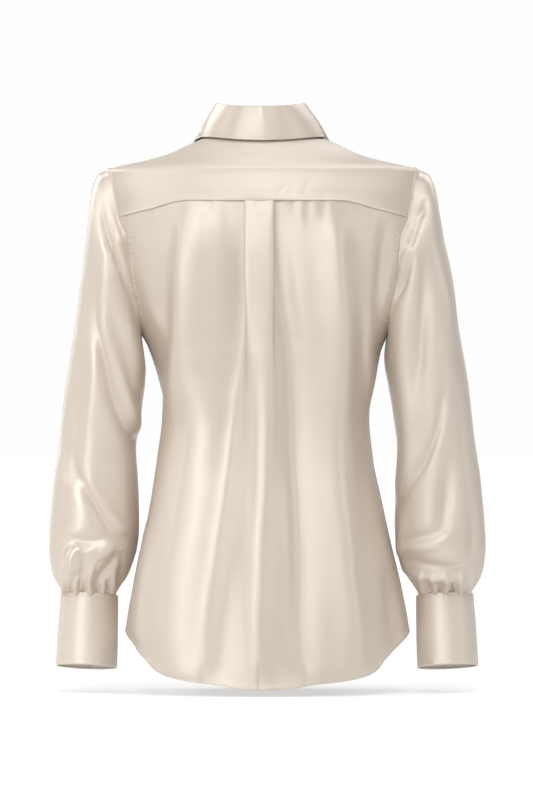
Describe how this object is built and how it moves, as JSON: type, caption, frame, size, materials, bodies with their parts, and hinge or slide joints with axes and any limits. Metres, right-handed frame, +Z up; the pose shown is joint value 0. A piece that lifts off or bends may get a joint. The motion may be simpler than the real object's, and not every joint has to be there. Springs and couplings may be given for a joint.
{
  "type": "silk blouse",
  "caption": "Long-sleeved silk satin blouse, filled out and open inside, with shirt collar, back yoke, box pleat, curved hem and gathered sleeves on buttoned cuffs.",
  "frame": {"origin": "middle of the neck base, level with the inner end of the shoulders, where the wearer's shoulders hold the blouse", "axes": "+Z up, -Y the way the wearer faces, +X toward the wearer's left"},
  "size_m": [0.554, 0.2676, 0.7389],
  "materials": {
    "silk_back": "soft sheen satin weave",
    "silk_yoke": "soft sheen satin weave",
    "silk_front_left": "soft sheen satin weave",
    "silk_front_right": "soft sheen satin weave",
    "silk_band": "soft sheen satin weave",
    "silk_stand": "soft sheen satin weave",
    "silk_leaf": "soft sheen satin weave",
    "silk_sleeve_left": "soft sheen satin weave",
    "silk_sleeve_right": "soft sheen satin weave",
    "silk_cuff_left": "soft sheen satin weave",
    "silk_cuff_right": "soft sheen satin weave",
    "button_resin": "pearly resin"
  },
  "bodies": {
    "root": {"back": "silk_back", "yoke": "silk_yoke", "front_left": "silk_front_left", "front_right": "silk_front_right", "button_band": "silk_band", "collar_stand": "silk_stand", "collar_leaf": "silk_leaf", "sleeve_left": "silk_sleeve_left", "sleeve_right": "silk_sleeve_right", "cuff_left": "silk_cuff_left", "cuff_right": "silk_cuff_right", "button_front_1": "button_resin", "button_front_2": "button_resin", "button_front_3": "button_resin", "button_front_4": "button_resin", "button_front_5": "button_resin", "button_front_6": "button_resin", "button_front_7": "button_resin", "button_stand": "button_resin", "button_cuff_left_1": "button_resin", "button_cuff_left_2": "button_resin", "button_cuff_right_1": "button_resin", "button_cuff_right_2": "button_resin"}
  },
  "joints": []
}
